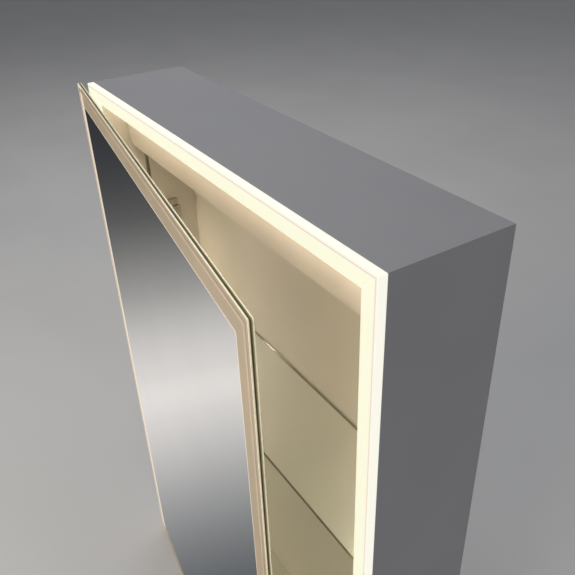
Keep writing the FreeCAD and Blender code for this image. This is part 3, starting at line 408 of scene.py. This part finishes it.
def cut_recesses(piece, heads_face):
    """Cut a cross into the head of each screw in a piece; heads_face points out of the heads."""
    out = Vector(heads_face)
    form = bmesh.new()
    form.from_mesh(piece.data)
    unseen = set(form.verts)
    crosses = bmesh.new()
    while unseen:
        screw, edge_of_screw = set(), [unseen.pop()]
        while edge_of_screw:
            vertex = edge_of_screw.pop()
            screw.add(vertex)
            for edge in vertex.link_edges:
                neighbour = edge.other_vert(vertex)
                if neighbour in unseen:
                    unseen.remove(neighbour)
                    edge_of_screw.append(neighbour)
        low = Vector([min(vertex.co[axis] for vertex in screw) for axis in range(3)])
        high = Vector([max(vertex.co[axis] for vertex in screw) for axis in range(3)])
        half = (high - low) / 2
        head = (low + high) / 2 + out * abs(half.dot(out))
        radius = max(abs((half - out * half.dot(out))[axis]) for axis in range(3))
        for spin in CROSS_TURNS:
            arm = Matrix.Diagonal((*[share * radius for share in CROSS_ARM], 1))
            bmesh.ops.create_cube(crosses, size=1, matrix=(
                Matrix.Translation(head) @ out.to_track_quat("Z", "Y").to_matrix().to_4x4()
                @ Matrix.Rotation(math.radians(spin), 4, "Z") @ arm))
    form.free()
    cutter_mesh = bpy.data.meshes.new("cross_cutter")
    crosses.to_mesh(cutter_mesh)
    crosses.free()
    cutter = bpy.data.objects.new("cross_cutter", cutter_mesh)
    bpy.context.scene.collection.objects.link(cutter)
    recess = piece.modifiers.new("cross_recess", "BOOLEAN")
    recess.object = cutter
    recess.solver = "EXACT"
    recess.use_self = True
    cut_piece = piece.evaluated_get(bpy.context.evaluated_depsgraph_get())
    cut_mesh = bpy.data.meshes.new_from_object(cut_piece)
    piece.modifiers.clear()
    piece.data = cut_mesh
    bpy.data.objects.remove(cutter)


for node, heads_face in SCREW_HEADS.items():
    cut_recesses(eased(node, HEAD_ROUND_MM), heads_face)

# ---------------------------------------------------------------- door panes

BORDER, CORNER = 25.0, 2.0  # the etched border's width and the pane's corner radius, in mm
CORNER_GROWTH = 0.04  # how much larger the corner radius is for each mm inwards
MARGIN = 0.6  # half the width of the bright margin round the silver, in mm

PANE_MATERIALS = [MATERIALS["mirror_glass"], MIRROR, BORDER_PALE, BORDER_SHADED, SILVER_MARGIN_PAINTED_GLOW,
                  GROUND_EDGE, SHADED_BEVEL]
ETCHED, SILVERED, PALE, SHADED, MARGIN_STRIP, GROUND, BEVEL = range(len(PANE_MATERIALS))
# rings from the silver outwards: inset from the pane's edge, and depth in from its outer face, in
# mm, where None is the pane's back face; PANE_STRIPS has the material of what follows each ring
RINGS = [(BORDER + MARGIN, 0.0), (BORDER - MARGIN, 0.0), (9.0, 0.0), (6.2, 0.0), (3.6, 0.0),
         (1.6, 0.0), (0.25, 0.0), (0.0, 0.25), (0.0, 1.2), (0.8, None)]
PANE_STRIPS = [MARGIN_STRIP, ETCHED, PALE, SHADED, ETCHED, ETCHED, GROUND, GROUND, BEVEL]


def rounded_outline(low, high, inset, radius, steps=5):
    """Points round a rectangle in X and Z with rounded corners, from its lower left corner."""
    points = []
    corners = [(low.x, low.z, 180), (high.x, low.z, 270), (high.x, high.z, 0), (low.x, high.z, 90)]
    for x, z, start in corners:
        cx = x + math.copysign(inset + radius, (low.x + high.x) / 2 - x)
        cz = z + math.copysign(inset + radius, (low.z + high.z) / 2 - z)
        for step in range(steps + 1):
            turn = math.radians(start + 90 * step / steps)
            points.append((cx + radius * math.cos(turn), cz + radius * math.sin(turn)))
    return points


def pane(node, outward):
    """A bevelled pane: silvered middle, etched border with its lines, and a ground edge."""
    low, high = door_box(node)
    face, back = (low.y, high.y) if outward < 0 else (high.y, low.y)
    inward = -outward * MM
    form = bmesh.new()
    loops = []
    for inset, depth in RINGS:
        y = back if depth is None else face + depth * inward
        radius = (CORNER + CORNER_GROWTH * inset) * MM
        loops.append([form.verts.new((x, y, z))
                      for x, z in rounded_outline(low, high, inset * MM, radius)])
    form.faces.new(loops[0]).material_index = SILVERED
    for inner, outer, strip in zip(loops, loops[1:], PANE_STRIPS):
        for number in range(len(inner)):
            following = (number + 1) % len(inner)
            quad = form.faces.new((inner[number], inner[following],
                                   outer[following], outer[number]))
            quad.material_index = strip
    form.faces.new(loops[-1]).material_index = BEVEL
    bmesh.ops.recalc_face_normals(form, faces=form.faces)
    mesh = bpy.data.meshes.new(f"{node}_bevelled")
    form.to_mesh(mesh)
    form.free()
    piece = show(mesh, f"{node}_bevelled", PANE_MATERIALS)
    piece.matrix_world = DOOR
    attach(piece, "door", "mirror_glass", node)


pane("front_pane", -1)
pane("rear_pane", 1)

# ---------------------------------------------------------------- studio

FLOOR_Z = CAD_BOX[0][2] - 0.5 * MM
FLOOR_REACH = 15.0
# how far the gradient card reaches to the left, its near and far edges and its right end, in m
CARD_REACH, CARD_NEAR, CARD_FAR, CARD_RIGHT = 4.0, -0.7, 0.1, 0.3
# its colours by distance to the left, in m
CARD_STOPS = [(0.05, "45494D"), (0.3, "85878A"), (0.6, "E8E3E0"), (0.75, "E8E3E0"),
              (1.15, "979694"), (1.7, "4A4A4B"), (2.6, "34353A")]
CARD_STRENGTH = 1.02


def stage_plane(name, low, high, material):
    """A flat stage piece between two corners."""
    mesh = bpy.data.meshes.new(name)
    mesh.from_pydata([(low[0], low[1], low[2]), (high[0], low[1], low[2]),
                      (high[0], high[1], high[2]), (low[0], high[1], high[2])],
                     [], [(0, 1, 2, 3)])
    mesh.materials.append(material)
    plane = bpy.data.objects.new(name, mesh)
    bpy.context.scene.collection.objects.link(plane)
    return plane


def gradient_card():
    """A soft gradient that only reflections see: light in mid-mirror, dark at its ends."""
    material = bpy.data.materials.new("gradient_card")
    material.use_nodes = True
    tree = material.node_tree
    tree.nodes.remove(tree.nodes["Principled BSDF"])
    place = add(tree, "ShaderNodeTexCoord").outputs["Object"]
    axes = add(tree, "ShaderNodeSeparateXYZ", None, {"Vector": place})
    away = add(tree, "ShaderNodeMath", {"operation": "DIVIDE"},
               {0: axes.outputs["X"], 1: -CARD_REACH})
    ramp = add(tree, "ShaderNodeValToRGB", None, {"Fac": away})
    ramp.color_ramp.interpolation = "B_SPLINE"
    stops = ramp.color_ramp.elements
    for number, (distance, colour) in enumerate(CARD_STOPS):
        stop = stops[number] if number < 2 else stops.new(1.0)
        stop.position = distance / CARD_REACH
        stop.color = linear(colour)
    glow = add(tree, "ShaderNodeEmission", None, {"Color": ramp, "Strength": CARD_STRENGTH})
    tree.links.new(glow.outputs[0], tree.nodes["Material Output"].inputs["Surface"])
    return material


stage_plane("floor", (-FLOOR_REACH, -FLOOR_REACH, FLOOR_Z), (FLOOR_REACH, FLOOR_REACH, FLOOR_Z),
            FLOOR_PAINT)
card = stage_plane("gradient_card", (-CARD_REACH, CARD_NEAR, FLOOR_Z + MM),
                   (CARD_RIGHT, CARD_FAR, FLOOR_Z + MM), gradient_card())
card.visible_camera = False
card.visible_diffuse = False
card.visible_transmission = False
card.visible_shadow = False


def soft_light(name, place, target, size, power, colour="FFFFFF", size_y=None):
    """A rectangular soft light that faces a target."""
    data = bpy.data.lights.new(name, "AREA")
    data.shape = "RECTANGLE"
    data.size = size
    data.size_y = size_y or size
    data.energy = power
    data.color = linear(colour)[:3]
    light = bpy.data.objects.new(name, data)
    light.location = place
    light.rotation_euler = (Vector(target) - Vector(place)).to_track_quat("-Z", "Y").to_euler()
    bpy.context.scene.collection.objects.link(light)
    return light


MIDDLE = (0, FRONT / 2, (TOP + BOTTOM) / 2)
soft_light("overhead_softbox", (-1.5, 0.2, 2.4), MIDDLE, size=3.0, power=50)
soft_light("side_softbox", (2.6, -0.2, 0.9), MIDDLE, size=2.0, power=11)
front_softbox = soft_light("front_softbox", (0.5, -2.5, 0.5), MIDDLE, size=2.0, power=57,
                           colour="FFF4E2")
front_softbox.visible_glossy = False  # so that the mirror doesn't show its white shape

# the frame's light inside the cabinet, from strips that face inwards behind the diffuser
INNER = FRAME_FACE + 4 * MM
STRIP_Y = BOARD_FRONT + 2 * MM
STRIP_WIDTH = 6 * MM
AIM = 0.12  # a strip points as far back into the cabinet as it points inwards
LEVEL_LENGTH = HALF_WIDTH * 1.8
# each strip's place, the way it points, its length in m and its power for each metre
INNER_STRIPS = {
    "inner_glow_top": ((0, STRIP_Y, TOP - INNER), (0, AIM, -AIM), LEVEL_LENGTH, 0.3),
    "inner_glow_bottom": ((0, STRIP_Y, BOTTOM + INNER), (0, AIM, AIM), LEVEL_LENGTH, 0.1),
    "inner_glow_left": ((LEFT + INNER, STRIP_Y, MIDDLE[2] - 0.05), (AIM, AIM, 0), 0.56, 0.62),
    "inner_glow_right": ((RIGHT - INNER, STRIP_Y, MIDDLE[2] + 0.07), (-AIM, AIM, 0), 0.46, 0.85),
}
for name, (place, aim, length, glow) in INNER_STRIPS.items():
    is_level = aim[0] == 0
    soft_light(name, place, Vector(place) + Vector(aim), length if is_level else STRIP_WIDTH,
               glow * length, "FFF2E0", STRIP_WIDTH if is_level else length)

ROOM_COLOUR, ROOM_STRENGTH = "D0D2D6", 0.35

world = bpy.data.worlds.new("plain_room")
bpy.context.scene.world = world
world.use_nodes = True
world.node_tree.nodes["Background"].inputs["Color"].default_value = linear(ROOM_COLOUR)
world.node_tree.nodes["Background"].inputs["Strength"].default_value = ROOM_STRENGTH

# ---------------------------------------------------------------- camera

CAMERA_AT = (0.6043, -0.3923, 0.2871)
# in degrees; it leans about its own line of sight
LOOKS_DOWN, LOOKS_LEFT, LEANS = 32.129, 58.573, -2.209
LENS_MM, SENSOR_MM = 42.95, 36

camera_data = bpy.data.cameras.new("camera")
camera_data.sensor_width = SENSOR_MM
camera_data.lens = LENS_MM
camera_data.clip_start = 0.02
camera = bpy.data.objects.new("camera", camera_data)
facing = Euler((math.radians(90 - LOOKS_DOWN), 0, math.radians(LOOKS_LEFT))).to_matrix().to_4x4()
camera.matrix_world = (Matrix.Translation(CAMERA_AT) @ facing
                       @ Matrix.Rotation(math.radians(LEANS), 4, "Z"))
bpy.context.scene.collection.objects.link(camera)
bpy.context.scene.camera = camera
bpy.context.scene.view_settings.view_transform = "Standard"
